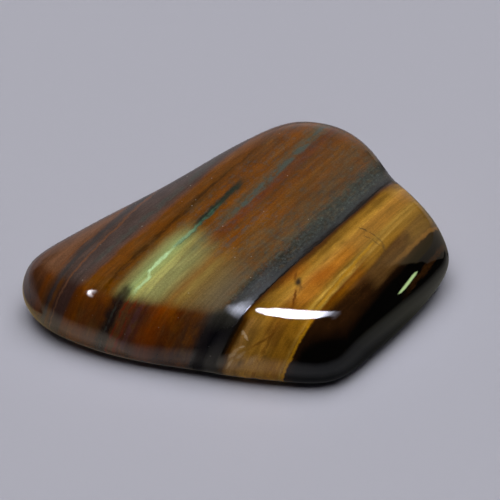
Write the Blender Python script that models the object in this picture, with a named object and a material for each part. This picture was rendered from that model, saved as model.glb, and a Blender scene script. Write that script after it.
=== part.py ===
"""Tumbled tiger's eye: one solid pebble of banded quartz, lying on its flattest side.

A pebble out of a tumbler is a rough chip whose flat breaks are still there, with every
edge between them worn to the same radius. So the solid is given as its worn faces, each
a plane at a distance from the core, and the planes are blended by a soft maximum.
Metres, +Z up, +X along the longest side; the origin is under the middle of the pebble,
on the surface it lies on.
"""

import math

import bmesh
import bpy
import numpy as np

MM = 0.001

# The core that the worn faces are measured from: its height over the lowest face.
CORE_HEIGHT = 4.5 * MM

# The worn faces: the compass direction that each looks in (degrees, 0 = +X, 90 = +Y),
# how far it looks upward (degrees), and its distance from the core.
WORN_FACES = {
    "top": (0, 90, 4.2 * MM),
    "back_left": (126, 16, 9.5 * MM),
    "back_right": (77, 8, 14.84 * MM),
    "right_back": (34, 14, 14.8 * MM),
    "right": (0, 0, 20.8 * MM),
    "front_right": (-42, 11, 11.9 * MM),
    "corner": (-75, 11, 15.1 * MM),
    "shoulder": (-42, 40, 10.7 * MM),
    "front_gold": (-94, 12, 9.2 * MM),
    "front": (-106, 12, 9.25 * MM),
    "front_left": (-128, 14, 13.7 * MM),
    "tip": (-162, 0, 17.8 * MM),
    "under_back": (95, -42, 12.9 * MM),
    "under_left": (-155, -45, 15.1 * MM),
    "under_front": (-99, -60, 8.05 * MM),
    "under_right": (-10, -50, 12.7 * MM),
    "belly_left": (175, -83, 5.5 * MM),
    "belly_back": (80, -82, 5.8 * MM),
    "belly_right": (-5, -83, 5.5 * MM),
    "bottom": (0, -90, CORE_HEIGHT),
}
# The length over which two faces blend. An edge's radius comes to a little over twice this.
BLEND = 0.9 * MM

# The stone is banded in parallel sheets, which look this way (degrees, as above). The
# tumbler wore a shallow valley along the sheet where the soft grey band meets the hard
# gold one, deepest at the back edge.
BAND_DIRECTION = (-41, -10)
VALLEY_PLACE = 2.95 * MM
VALLEY_WIDTH = 2.1 * MM
VALLEY_DEPTH_BACK = 0.24 * MM
VALLEY_DEPTH_FRONT = 0.05 * MM
VALLEY_BACK_Y = 7.0 * MM
VALLEY_FRONT_Y = -3.0 * MM

# Slow unevenness that the flat breaks keep: the direction, length and phase of each wave.
WAVES = ((20, 11.0 * MM, 0.4), (85, 14.0 * MM, 2.1), (150, 9.0 * MM, 4.0))
WAVE_HEIGHT = 0.03 * MM

# The level, over the lowest point, at which the stone is worn truly flat underneath.
REST_LEVEL = 0.22 * MM

# The block that is pushed out to the worn faces: half its length, depth and height, the
# cells along each, and how many times its points are spread evenly over the surface.
BLOCK_HALF = (17.0 * MM, 12.0 * MM, 4.2 * MM)
BLOCK_CELLS = (30, 22, 12)
SPREADING_ROUNDS = 12
SEARCH_STEPS = 26
SEARCH_REACH = 40.0 * MM
# Points closer than this are one, so the cut underneath leaves no slivers.
MERGE = 0.05 * MM


def direction(azimuth: float, elevation: float) -> np.ndarray:
    """Unit vector that looks in a compass direction and upward, both in degrees."""
    a, e = math.radians(azimuth), math.radians(elevation)
    return np.array((math.cos(a) * math.cos(e), math.sin(a) * math.cos(e), math.sin(e)))


NORMALS = np.array([direction(a, e) for a, e, _ in WORN_FACES.values()])
DISTANCES = np.array([distance for _, _, distance in WORN_FACES.values()])
ACROSS_BANDS = direction(*BAND_DIRECTION)
CORE = np.array((0.0, 0.0, CORE_HEIGHT))


def valley_depth(points: np.ndarray) -> np.ndarray:
    """Depth of the worn valley at each point."""
    across = (points @ ACROSS_BANDS - VALLEY_PLACE) / VALLEY_WIDTH
    back = (points[:, 1] - VALLEY_FRONT_Y) / (VALLEY_BACK_Y - VALLEY_FRONT_Y)
    growth = (VALLEY_DEPTH_BACK - VALLEY_DEPTH_FRONT) * np.clip(back, 0.0, 1.0)
    return (VALLEY_DEPTH_FRONT + growth) * np.exp(-across * across)


def waves(points: np.ndarray) -> np.ndarray:
    """Height of the slow unevenness at each point."""
    height = np.zeros(len(points))
    for azimuth, length, phase in WAVES:
        along = points @ direction(azimuth, 0)
        height += WAVE_HEIGHT * np.sin(2 * math.pi * along / length + phase)
    return height


def outside_by(points: np.ndarray) -> np.ndarray:
    """How far each point lies outside the worn surface; negative inside."""
    over = ((points - CORE) @ NORMALS.T - DISTANCES) / BLEND
    highest = over.max(axis=1)
    blended = highest + np.log(np.exp(over - highest[:, None]).sum(axis=1))
    return blended * BLEND + valley_depth(points) - waves(points)


def push_out(points: np.ndarray) -> np.ndarray:
    """Moves each point along its ray from the core onto the worn surface, by halving."""
    rays = points - CORE
    rays /= np.linalg.norm(rays, axis=1, keepdims=True)
    inside = np.zeros(len(points))
    outside = np.full(len(points), SEARCH_REACH)
    for _ in range(SEARCH_STEPS):
        middle = (inside + outside) / 2
        within = outside_by(CORE + rays * middle[:, None]) < 0
        inside = np.where(within, middle, inside)
        outside = np.where(within, outside, middle)
    return CORE + rays * inside[:, None]


def gridded_block(mesh: bmesh.types.BMesh) -> None:
    """Adds a block round the core, its faces divided into cells."""
    bmesh.ops.create_cube(mesh, size=2.0)
    for axis, cells in enumerate(BLOCK_CELLS):
        along = [e for e in mesh.edges if abs(e.verts[0].co[axis] - e.verts[1].co[axis]) > 1.0]
        bmesh.ops.subdivide_edges(mesh, edges=along, cuts=cells - 1, use_grid_fill=True)
    bmesh.ops.scale(mesh, verts=mesh.verts, vec=BLOCK_HALF)
    bmesh.ops.translate(mesh, verts=mesh.verts, vec=CORE)


def push_mesh_out(mesh: bmesh.types.BMesh) -> None:
    """Puts every point of the mesh onto the worn surface."""
    surface = push_out(np.array([vert.co for vert in mesh.verts]))
    for vert, place in zip(mesh.verts, surface):
        vert.co = place


def flatten_underside(mesh: bmesh.types.BMesh) -> None:
    """Cuts the lowest part level and closes it with one flat face."""
    lowest = min(vert.co.z for vert in mesh.verts)
    cut = bmesh.ops.bisect_plane(
        mesh,
        geom=mesh.verts[:] + mesh.edges[:] + mesh.faces[:],
        plane_co=(0.0, 0.0, lowest + REST_LEVEL),
        plane_no=(0.0, 0.0, -1.0),
        clear_outer=True,
    )
    rim = [item for item in cut["geom_cut"] if isinstance(item, bmesh.types.BMEdge)]
    bmesh.ops.holes_fill(mesh, edges=rim)
    bmesh.ops.remove_doubles(mesh, verts=mesh.verts, dist=MERGE)


def centre_on_origin(mesh: bmesh.types.BMesh) -> None:
    """Moves the mesh so that its box stands on the origin, centred over it."""
    points = np.array([vert.co for vert in mesh.verts])
    low, high = points.min(axis=0), points.max(axis=0)
    middle = (low + high) / 2
    bmesh.ops.translate(mesh, verts=mesh.verts, vec=(-middle[0], -middle[1], -low[2]))


def polished_quartz() -> bpy.types.Material:
    """Polished tiger's eye: dark amber brown under a clear, glassy surface."""
    material = bpy.data.materials.new("polished_tigers_eye")
    material.use_nodes = True
    shader = material.node_tree.nodes["Principled BSDF"]
    shader.inputs["Base Color"].default_value = (0.130, 0.068, 0.027, 1.0)
    shader.inputs["Roughness"].default_value = 0.10
    shader.inputs["Metallic"].default_value = 0.0
    shader.inputs["IOR"].default_value = 1.54
    return material


def make_pebble() -> bpy.types.Object:
    """The whole stone as one closed solid, shaded smooth but for the face it lies on."""
    mesh = bmesh.new()
    gridded_block(mesh)
    push_mesh_out(mesh)
    for _ in range(SPREADING_ROUNDS):
        bmesh.ops.smooth_vert(
            mesh, verts=mesh.verts, factor=0.5, use_axis_x=True, use_axis_y=True, use_axis_z=True
        )
        push_mesh_out(mesh)
    flatten_underside(mesh)
    centre_on_origin(mesh)
    bmesh.ops.triangulate(mesh, faces=mesh.faces[:])
    bmesh.ops.recalc_face_normals(mesh, faces=mesh.faces[:])

    data = bpy.data.meshes.new("tigers_eye")
    mesh.to_mesh(data)
    mesh.free()
    data.shade_smooth()
    data.set_sharp_from_angle(angle=math.radians(35))
    data.materials.append(polished_quartz())
    pebble = bpy.data.objects.new("tigers_eye", data)
    bpy.context.scene.collection.objects.link(pebble)
    return pebble


def main() -> None:
    """Clears the scene and models the stone."""
    for old in list(bpy.data.objects):
        bpy.data.objects.remove(old)
    make_pebble()


main()
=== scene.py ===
"""Looks of a tumbled tiger's eye pebble: its worn surface, its bands and its polish.

The pebble is one stone, so one piece stands for the solid. Its shape is worked out from
the same worn faces as the solid, on a mesh fine enough for the wear between the hard and
the soft bands. Its bands are sheets that go right through the stone, so the finish reads
object coordinates turned to look across the sheets.
"""

import logging
import math
from dataclasses import dataclass, field
from enum import Enum
from typing import NamedTuple

import bmesh
import bpy
import numpy as np
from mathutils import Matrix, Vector

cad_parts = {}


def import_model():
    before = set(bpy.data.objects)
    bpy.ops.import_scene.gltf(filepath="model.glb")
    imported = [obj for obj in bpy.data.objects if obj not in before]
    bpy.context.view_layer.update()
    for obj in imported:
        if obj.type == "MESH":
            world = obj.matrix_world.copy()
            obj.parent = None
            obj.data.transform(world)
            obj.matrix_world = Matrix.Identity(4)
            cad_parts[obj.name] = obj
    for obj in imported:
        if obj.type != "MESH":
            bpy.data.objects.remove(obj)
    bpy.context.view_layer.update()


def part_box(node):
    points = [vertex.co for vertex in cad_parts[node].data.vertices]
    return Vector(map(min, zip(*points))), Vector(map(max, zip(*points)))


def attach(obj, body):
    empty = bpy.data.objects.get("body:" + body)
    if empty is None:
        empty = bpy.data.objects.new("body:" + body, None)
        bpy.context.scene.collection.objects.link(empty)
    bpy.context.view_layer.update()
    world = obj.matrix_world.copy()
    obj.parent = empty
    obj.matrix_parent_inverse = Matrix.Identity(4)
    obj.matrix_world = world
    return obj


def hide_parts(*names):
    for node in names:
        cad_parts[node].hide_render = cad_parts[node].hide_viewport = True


MM = 0.001
log = logging.getLogger("tigers_eye")


class Tone(Enum):
    """The colours in the stone, as sRGB."""

    # The broad face, where the fibres lie flat: the brown side.
    IRON = "#5c3514"
    CLAY = "#66452f"
    SLATE = "#493a34"
    VIOLET_SLATE = "#493c38"
    PALE_SLATE = "#533d33"
    RUST_LINE = "#70401f"
    DULL_RUST = "#684530"
    AMBER = "#643a0c"
    DEEP_AMBER = "#573100"
    UMBER = "#3b2200"
    RUSSET = "#5c340a"
    CHESTNUT = "#683b02"
    OLIVE_BROWN = "#5b4528"
    RED_IRON = "#60341a"
    COCOA = "#5a3a16"
    COPPER = "#743f00"
    TAWNY = "#70460f"
    MOTTLED_OLIVE = "#634724"
    DUN = "#57452c"
    STEEL = "#383730"
    BLUE_STEEL = "#333536"
    PALE_STEEL = "#484a4e"
    TEAL_GREY = "#56605e"
    SOOT = "#140e08"
    # The gold side.
    BURNT_EDGE = "#4e2c00"
    OCHRE = "#7f5a18"
    GOLD = "#a57b2c"
    HONEY = "#ae7c30"
    ORANGE = "#a3691c"
    STRAW = "#b08b38"
    OLD_GOLD = "#8e6c2e"
    BRONZE = "#8b641c"
    TOBACCO = "#774807"
    AMBER_LINE = "#8c622a"
    TREACLE = "#46280a"
    SMOKY_BROWN = "#5e4220"
    BURNT = "#2c1807"
    NEAR_BLACK = "#030201"
    # The worn edges, where the fibres are cut across: darker and redder.
    EDGE_IRON = "#52301a"
    EDGE_RUST = "#663408"
    EDGE_SLATE = "#402c26"
    EDGE_LINE = "#573418"
    EDGE_AMBER = "#693500"
    EDGE_BROWN = "#5c2e0c"
    EDGE_SOOT = "#261a16"
    EDGE_CLAY = "#56351f"
    EDGE_MAROON = "#52281a"
    EDGE_COPPER = "#823a00"
    EDGE_DARK = "#522508"
    EDGE_DUN = "#482b18"
    EDGE_STEEL = "#241f1f"
    INK = "#0d0c11"
    EDGE_GOLD = "#c08830"
    EDGE_BRONZE = "#9a6a18"
    EDGE_PALE_GOLD = "#9e7336"
    # The painted sheen of the broad face: its colour with the silky light of the fibres painted in.
    SHEEN_BROWN = "#6e5a2a"
    SHEEN_OLIVE = "#827c4a"
    SHEEN_GREEN = "#8d9d64"
    SHEEN_SAGE = "#98a363"
    SHEEN_YELLOW = "#a5a25e"
    SHEEN_REED = "#898753"
    SHEEN_TAN = "#806f3e"
    SHEEN_RUST = "#83612e"
    SHEEN_GOLD = "#846e36"
    SHEEN_DUN = "#745d31"
    SHEEN_END = "#6c5b3a"
    SHEEN_GREY = "#665943"
    # Threads, stains and scratches, and the painted sheen, haze and glints among them.
    DARK_TEAL = "#16281f"
    TEAL = "#3b5a48"
    SLATE_TEAL = "#45504a"
    # The blue thread, painted bright with the sheen.
    PALE_TEAL = "#82a078"
    SPRING_GREEN = "#b8d8a0"
    # A bright line of painted sheen.
    SHEEN_LINE = "#b4b268"
    RED_THREAD = "#772711"
    LILAC = "#544352"
    # A painted haze of reflected light.
    PAINTED_HAZE = "#8d8482"
    RUST_STAIN = "#9a4e05"
    RUST_THREAD = "#5f2f06"
    SMOKE = "#2a2118"
    FRACTURE = "#4c3d22"
    PALE_FIBRE = "#bd9a66"
    WHITE_SCRATCH = "#d6b98c"
    YELLOW_THREAD = "#c08a18"
    # Painted glints.
    PAINTED_GLINT = "#c4c2b4"

    @property
    def linear(self) -> tuple[float, float, float, float]:
        """The colour as linear values with full alpha."""
        return linear_rgba(self.value)


def linear_rgba(code: str) -> tuple[float, float, float, float]:
    """Turns an sRGB hex colour to linear values.

    Args:
        code: the colour, as "#rrggbb".

    Returns:
        Red, green and blue as the renderer adds them up, and an alpha of 1.
    """
    shares = [int(code[i : i + 2], 16) / 255 for i in (1, 3, 5)]
    red, green, blue = (
        share / 12.92 if share <= 0.04045 else ((share + 0.055) / 1.055) ** 2.4
        for share in shares
    )
    return red, green, blue, 1.0


def add_node(
    tree: bpy.types.NodeTree, kind: str, *feeds: object, **settings: object
) -> bpy.types.Node:
    """Adds one shader node with its settings and links.

    Args:
        tree: the node tree.
        kind: the node's type, without "ShaderNode".
        feeds: the nodes, sockets or values for the inputs in order, or one dict that gives
            them by the inputs' names.
        settings: the node's own properties.

    Returns:
        The new node.
    """
    node = tree.nodes.new("ShaderNode" + kind)
    for name, value in settings.items():
        setattr(node, name, value)
    named = feeds[0] if feeds and isinstance(feeds[0], dict) else dict(enumerate(feeds))
    for key, value in named.items():
        if isinstance(key, int):
            socket = node.inputs[key]
        else:
            socket = next(s for s in node.inputs if s.enabled and s.name == key)
        if isinstance(value, bpy.types.Node):
            value = next(output for output in value.outputs if output.enabled)
        if isinstance(value, Tone):
            value = value.linear
        if isinstance(value, bpy.types.NodeSocket):
            tree.links.new(value, socket)
        else:
            socket.default_value = value
    return node


def put_in_scene(name: str, mesh: bmesh.types.BMesh) -> bpy.types.Object:
    """Turns a mesh that is being worked on into an object of the scene.

    Args:
        name: the name of the object.
        mesh: its mesh, which is used up.

    Returns:
        The object, at the origin.
    """
    data = bpy.data.meshes.new(name)
    mesh.to_mesh(data)
    mesh.free()
    thing = bpy.data.objects.new(name, data)
    bpy.context.scene.collection.objects.link(thing)
    return thing


def direction(azimuth: float, elevation: float) -> np.ndarray:
    """Unit vector that looks in a compass direction and upward.

    Args:
        azimuth: compass direction in degrees, 0 along +X and 90 along +Y.
        elevation: degrees above the level.

    Returns:
        The vector.
    """
    a, e = math.radians(azimuth), math.radians(elevation)
    return np.array((math.cos(a) * math.cos(e), math.sin(a) * math.cos(e), math.sin(e)))


class Fade(NamedTuple):
    """Where something comes in and goes out, and how softly, in millimetres.

    An edge of nothing means that this end stays open.
    """

    start: float
    start_edge: float
    end: float = 0.0
    end_edge: float = 0.0


# Heights over the ground at which the broad face gives way to the worn edges, and back
# to the underside.
BROAD_FACE = Fade(7.2, 0.6)
ANY_HEIGHT = Fade(0.0, 0.0)
WORN_EDGE = Fade(1.2, 0.8, 7.2, 0.6)


class Thread(NamedTuple):
    """A thin line that follows the bands.

    It drifts across them by so much per millimetre along them, measured from the middle of
    the stone, and may be broken up into dashes.
    """

    tone: Tone
    place: float
    half_width: float
    strength: float
    along: Fade
    height: Fade = BROAD_FACE
    drift: float = 0.0
    broken: bool = False


class Stroke(NamedTuple):
    """A stain, crack or scratch that tapers to both ends.

    On the broad face its ends are given across and along the sheets. On a worn edge they
    are given across and through them.
    """

    tone: Tone
    start: tuple[float, float]
    end: tuple[float, float]
    half_width: float
    strength: float
    hardness: float
    on_edge: bool = False


# Which way the sheets of the stone look, in degrees.
BAND_AZIMUTH = -41.0
BAND_ELEVATION = -10.0

# How much the bands turn off that direction, in millimetres per millimetre along them,
# at each place across the stone. The sheets were folded a little where they grew.
SLANTS = (
    (-10.0, 0.05), (-7.4, 0.05), (-6.0, 0.0), (-4.6, 0.03), (-3.0, 0.055), (-1.5, 0.03),
    (3.5, 0.025), (5.6, 0.0), (9.0, 0.08),
)
SLANT_SPAN = (-10.0, 10.0)
STEEPEST_SLANT = 0.1

# Each band is a tone with the place across the stone, in millimetres, where it is pure, or
# the two places between which it is. First the brown side, up to the grey band.
BROWN_SPAN = (-12.0, 6.0)
BROWN_BANDS = (
    (Tone.IRON, -12.0), (Tone.CLAY, -9.9, -8.8), (Tone.SLATE, -8.65, -7.85),
    (Tone.VIOLET_SLATE, -7.0, -6.45), (Tone.PALE_SLATE, -5.95), (Tone.AMBER, -5.6, -5.2),
    (Tone.DEEP_AMBER, -4.8), (Tone.UMBER, -4.62), (Tone.DEEP_AMBER, -4.45), (Tone.RUSSET, -3.6),
    (Tone.CHESTNUT, -2.9, -2.4), (Tone.OLIVE_BROWN, -2.1, -1.6), (Tone.RED_IRON, -1.25, -0.95),
    (Tone.COCOA, -0.55), (Tone.COPPER, -0.1), (Tone.TAWNY, 0.8), (Tone.MOTTLED_OLIVE, 1.5),
    (Tone.DUN, 3.3), (Tone.STEEL, 3.95), (Tone.BLUE_STEEL, 5.1), (Tone.SOOT, 5.32),
)
# The same bands on the worn edges.
EDGE_BANDS = (
    (Tone.EDGE_IRON, -12.0, -9.6), (Tone.EDGE_RUST, -9.2), (Tone.EDGE_LINE, -8.8),
    (Tone.EDGE_SLATE, -8.45), (Tone.EDGE_LINE, -8.2, -7.9), (Tone.EDGE_SLATE, -7.6, -6.3),
    (Tone.EDGE_BROWN, -6.0), (Tone.EDGE_AMBER, -5.55), (Tone.EDGE_BROWN, -5.15, -4.2),
    (Tone.EDGE_SOOT, -3.75, -3.2), (Tone.EDGE_CLAY, -2.6, -2.2), (Tone.EDGE_MAROON, -1.8, -1.1),
    (Tone.EDGE_COPPER, -0.3, 0.2), (Tone.EDGE_DARK, 1.0, 1.6), (Tone.EDGE_DUN, 2.3, 2.9),
    (Tone.EDGE_STEEL, 3.5), (Tone.INK, 4.3, 5.3),
)
# The gold side, from the dark seam on.
GOLD_SPAN = (5.0, 12.0)
GOLD_BANDS = (
    (Tone.SOOT, 5.0, 5.42), (Tone.BURNT_EDGE, 5.62), (Tone.OCHRE, 5.9), (Tone.BRONZE, 6.35),
    (Tone.GOLD, 6.75), (Tone.HONEY, 7.15), (Tone.ORANGE, 7.6, 8.2), (Tone.BRONZE, 8.6),
    (Tone.STRAW, 8.82), (Tone.BRONZE, 8.98), (Tone.GOLD, 9.15), (Tone.STRAW, 9.32),
    (Tone.TOBACCO, 9.48, 9.85), (Tone.TREACLE, 10.25, 11.05), (Tone.BURNT, 11.5),
    (Tone.NEAR_BLACK, 11.9),
)
EDGE_GOLD_BANDS = (
    (Tone.INK, 5.0), (Tone.SOOT, 5.55), (Tone.BURNT_EDGE, 5.85), (Tone.EDGE_PALE_GOLD, 6.1, 6.6),
    (Tone.EDGE_GOLD, 7.0, 7.7), (Tone.EDGE_BRONZE, 8.2, 9.0), (Tone.GOLD, 9.2),
    (Tone.TOBACCO, 9.38), (Tone.BURNT, 9.6),
)
# Where the gold side takes over, in the middle of the dark seam, and half its ragged width.
SEAM = 5.35
SEAM_RAGGED = 0.04
# Between these places the gold side goes over to near black. This draws in towards the back,
# off the front edge of the gold: from how far in front of the middle, over what length, and
# by how much.
DARK_END = (9.35, 10.15)
DARK_FROM, DARK_RUN, DARK_SHIFT = 5.2, 3.2, -1.9

# Painted sheen: the silky light in the fibres of the broad face, painted into the colour, by
# place across the bands, and where it shines.
PAINTED_SHEEN_SPAN = (-5.0, 3.5)
PAINTED_SHEEN_TONES = (
    (Tone.SHEEN_BROWN, -4.4), (Tone.SHEEN_OLIVE, -3.8), (Tone.SHEEN_GREEN, -3.2),
    (Tone.SHEEN_SAGE, -2.7), (Tone.SHEEN_YELLOW, -2.25), (Tone.SHEEN_REED, -1.85, -0.9),
    (Tone.SHEEN_TAN, -0.3), (Tone.SHEEN_RUST, 0.1), (Tone.SHEEN_GOLD, 0.6), (Tone.SHEEN_DUN, 1.2),
    (Tone.SHEEN_END, 2.0), (Tone.SHEEN_GREY, 3.0),
)
PAINTED_SHEEN_PLACE = (Fade(-4.15, 0.9, 3.4, 1.2), Fade(-20.0, 0.0, -4.1, 4.0), Fade(7.22, 0.9))

# Washes of one tone: how strong each is, and where across and along the bands and over the
# ground.
WASHES = (
    # A teal tinge at the back end of the grey band, which is paler towards the front.
    (Tone.SLATE_TEAL, 0.22, Fade(3.4, 0.6, 5.0, 0.6), Fade(2.0, 6.0), BROAD_FACE),
    (Tone.PALE_STEEL, 0.6, Fade(4.0, 0.6, 5.25, 0.3), Fade(-20.0, 0.0, -2.6, 3.0), BROAD_FACE),
    # The brown beside it is darker towards the back, and dull low on the front edge.
    (Tone.UMBER, 0.26, Fade(-1.9, 0.6, 3.4, 0.8), Fade(3.2, 4.0)),
    (Tone.EDGE_SOOT, 0.5, Fade(-1.4, 1.0, 2.8, 1.0), None, Fade(0.0, 0.0, 3.2, 1.4)),
    # The crest of the grey band, where the broad face turns down.
    (Tone.STEEL, 0.55, Fade(3.0, 1.2, 5.3, 0.2), Fade(-20.0, 0.0, -2.6, 3.0),
     Fade(6.1, 1.6, 7.6, 0.6)),
    # The gold is duller at both ends of the broad face.
    (Tone.BRONZE, 0.5, Fade(6.3, 0.4, 8.2, 0.6), Fade(-20.0, 0.0, -3.8, 1.6)),
    (Tone.RUST_THREAD, 0.45, Fade(7.1, 0.4, 8.2, 0.4), Fade(-6.6, 0.6, -3.8, 1.0)),
    (Tone.OLD_GOLD, 0.6, Fade(7.3, 0.6, 9.9, 0.5), Fade(3.4, 1.8)),
    # Towards the back the last gold runs out in bronze and smoky brown.
    (Tone.BRONZE, 0.75, Fade(9.42, 0.2, 10.1, 0.4), Fade(2.6, 1.6)),
    (Tone.SMOKY_BROWN, 0.85, Fade(10.1, 0.4, 11.5, 0.4), Fade(2.4, 1.6)),
    (Tone.OLD_GOLD, 0.45, Fade(9.4, 0.3, 11.3, 0.6), Fade(7.4, 2.0)),
)

# Threads of colour that follow the bands.
THREADS = (
    # The thread of unweathered blue fibre: dark at its back end, bright where the sheen is painted.
    Thread(Tone.DARK_TEAL, -3.1, 0.27, 0.90, Fade(-3.2, 1.6, 2.9, 1.6)),
    Thread(Tone.TEAL, -2.98, 0.16, 0.85, Fade(-5.6, 1.8, -0.4, 2.4), broken=True),
    Thread(Tone.PALE_TEAL, -3.06, 0.16, 0.75, Fade(-7.4, 1.0, -3.3, 1.8), broken=True),
    Thread(Tone.SPRING_GREEN, -3.07, 0.14, 0.85, Fade(-9.05, 0.3, -6.2, 1.4)),
    Thread(Tone.SPRING_GREEN, -2.66, 0.14, 0.75, Fade(-10.9, 0.9, -9.2, 0.3)),
    Thread(Tone.EDGE_SOOT, -3.0, 0.44, 0.82, Fade(-14.0, 0.0, -10.9, 0.8), ANY_HEIGHT, drift=0.03),
    # The second blue thread, wider and duller, with a red line beside it.
    Thread(Tone.SLATE_TEAL, -1.64, 0.27, 0.80, Fade(0.2, 2.0, 14.0, 0.0), broken=True),
    Thread(Tone.SLATE_TEAL, -1.70, 0.20, 0.35, Fade(-5.0, 2.0, 1.0, 2.0), broken=True),
    Thread(Tone.RED_THREAD, -1.0, 0.42, 0.09, Fade(-1.0, 3.0, 9.5, 2.0)),
    # Bright lines of painted sheen along the fibres.
    Thread(Tone.SHEEN_LINE, -2.26, 0.20, 0.60, Fade(-10.6, 0.8, -6.4, 2.4), drift=-0.047),
    Thread(Tone.SHEEN_TAN, -2.0, 0.11, 0.40, Fade(-9.6, 1.0, -5.0, 1.5), drift=-0.034, broken=True),
    # Thin rust lines on the slate end.
    Thread(Tone.BLUE_STEEL, -8.36, 0.17, 0.60, Fade(-20.0, 0.0, 2.0, 5.0), ANY_HEIGHT),
    Thread(Tone.DULL_RUST, -8.25, 0.11, 0.80,
           Fade(-20.0, 0.0, -1.0, 5.0), ANY_HEIGHT, drift=-0.056),
    Thread(Tone.SLATE_TEAL, -6.5, 0.30, 0.35, Fade(-11.0, 3.0, 4.0, 4.0), broken=True),
    Thread(Tone.RUST_LINE, -5.78, 0.05, 0.35, Fade(-7.0, 3.0, 6.0, 2.0)),
    Thread(Tone.RUST_LINE, -8.95, 0.06, 0.40, Fade(-14.0, 0.0, 2.0, 3.0), ANY_HEIGHT, broken=True),
    Thread(Tone.UMBER, -4.72, 0.13, 0.70, Fade(-9.0, 4.0, 3.0, 2.0), broken=True),
    Thread(Tone.SLATE_TEAL, 0.15, 0.18, 0.35, Fade(-4.0, 2.0, 1.5, 2.0), drift=0.02, broken=True),
    # The worn edge below the painted sheen: thin red, lilac and teal lines.
    Thread(Tone.RED_THREAD, -2.75, 0.09, 0.80, Fade(-14.0, 0.0, -9.0, 1.0), WORN_EDGE, broken=True),
    Thread(Tone.LILAC, -1.55, 0.20, 0.22, Fade(-14.0, 0.0, -9.0, 1.0), WORN_EDGE, broken=True),
    Thread(Tone.RED_THREAD, -2.05, 0.12, 0.60, Fade(-14.0, 0.0, -9.0, 1.0), WORN_EDGE, broken=True),
    Thread(Tone.SLATE_TEAL, -3.45, 0.09, 0.40, Fade(-14.0, 0.0, -9.0, 1.0), WORN_EDGE, broken=True),
    # The seam stays dark a little further at mid length.
    Thread(Tone.BURNT_EDGE, 5.68, 0.25, 0.75, Fade(-4.0, 2.0, 3.2, 2.0)),
    # Bright and dark lines of the gold side.
    Thread(Tone.RUST_THREAD, 9.42, 0.17, 0.45, Fade(-6.0, 1.0, 3.6, 1.6), drift=-0.04),
    Thread(Tone.YELLOW_THREAD, 9.40, 0.11, 0.90, Fade(-14.0, 0.0, -3.6, 1.6), WORN_EDGE),
    Thread(Tone.YELLOW_THREAD, 9.05, 0.12, 0.45, Fade(-3.0, 2.0, 5.0, 1.0), drift=-0.04),
    Thread(Tone.RUST_THREAD, 7.62, 0.10, 0.45, Fade(-8.0, 1.0, -3.2, 0.8), ANY_HEIGHT, broken=True),
    Thread(Tone.AMBER_LINE, 10.8, 0.17, 0.75, Fade(6.0, 6.0), ANY_HEIGHT, drift=0.075),
    Thread(Tone.TREACLE, 13.1, 0.15, 0.60, Fade(5.0, 2.0, 16.0, 0.0), ANY_HEIGHT, drift=-0.02),
)

# Stains, cracks and scratches at one place each.
STROKES = (
    # The jog where the thread, painted bright with the sheen, steps over.
    Stroke(Tone.SPRING_GREEN, (-2.72, -8.75), (-2.12, -9.55), 0.15, 0.85, 0.2),
    # The orange stain, its dark knot and the reddish lines that leave it.
    Stroke(Tone.RUST_STAIN, (7.9, 1.6), (7.2, -2.6), 0.75, 0.55, 0.0),
    Stroke(Tone.RUST_STAIN, (6.2, 0.4), (6.0, -3.6), 0.55, 0.45, 0.0),
    Stroke(Tone.SMOKE, (6.6, -1.85), (6.9, -2.4), 0.30, 0.95, 0.15),
    Stroke(Tone.SMOKE, (7.0, -2.1), (7.3, -2.5), 0.18, 0.5, 0.0),
    Stroke(Tone.RUST_THREAD, (6.9, -2.4), (8.0, -4.3), 0.14, 0.85, 0.3),
    Stroke(Tone.RUST_THREAD, (6.5, -2.3), (6.0, -1.4), 0.12, 0.6, 0.3),
    # Fine cracks that arch over the gold, and the one that leaves them for the edge.
    Stroke(Tone.FRACTURE, (6.6, 5.33), (7.5, 5.5), 0.07, 0.8, 0.4),
    Stroke(Tone.FRACTURE, (7.4, 5.5), (8.4, 5.5), 0.06, 0.6, 0.4),
    Stroke(Tone.FRACTURE, (8.3, 5.5), (9.15, 5.42), 0.09, 0.55, 0.3),
    Stroke(Tone.FRACTURE, (9.0, 5.47), (9.7, 4.95), 0.14, 0.55, 0.2),
    Stroke(Tone.FRACTURE, (9.6, 5.1), (10.2, 3.3), 0.14, 0.3, 0.1),
    Stroke(Tone.FRACTURE, (7.4, 4.93), (8.2, 5.08), 0.06, 0.6, 0.4),
    Stroke(Tone.FRACTURE, (8.1, 5.07), (9.2, 5.1), 0.06, 0.5, 0.4),
    Stroke(Tone.SMOKE, (9.9, 7.7), (10.2, 6.9), 0.32, 0.4, 0.0),
    # A bruise and pale splinters on the worn edge of the gold.
    Stroke(Tone.WHITE_SCRATCH, (6.15, 7.15), (6.75, 6.55), 0.10, 0.85, 0.4, True),
    Stroke(Tone.WHITE_SCRATCH, (6.05, 7.3), (6.2, 7.0), 0.12, 0.6, 0.4, True),
    Stroke(Tone.PALE_FIBRE, (6.45, 5.9), (6.05, 4.3), 0.17, 0.75, 0.3, True),
    Stroke(Tone.PALE_FIBRE, (6.9, 5.6), (6.55, 4.5), 0.15, 0.55, 0.3, True),
    Stroke(Tone.WHITE_SCRATCH, (6.35, 5.75), (6.75, 6.0), 0.10, 0.6, 0.4, True),
    Stroke(Tone.PALE_FIBRE, (6.35, 4.6), (6.2, 3.2), 0.13, 0.6, 0.3, True),
    Stroke(Tone.PALE_FIBRE, (7.8, 5.6), (7.4, 4.2), 0.25, 0.35, 0.0, True),
    Stroke(Tone.RUST_THREAD, (8.2, 7.9), (6.95, 5.6), 0.12, 0.55, 0.3, True),
    Stroke(Tone.SMOKE, (7.1, 4.9), (6.9, 3.7), 0.22, 0.4, 0.0, True),
    Stroke(Tone.SMOKE, (8.25, 5.7), (8.15, 5.2), 0.18, 0.45, 0.0, True),
)


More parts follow.
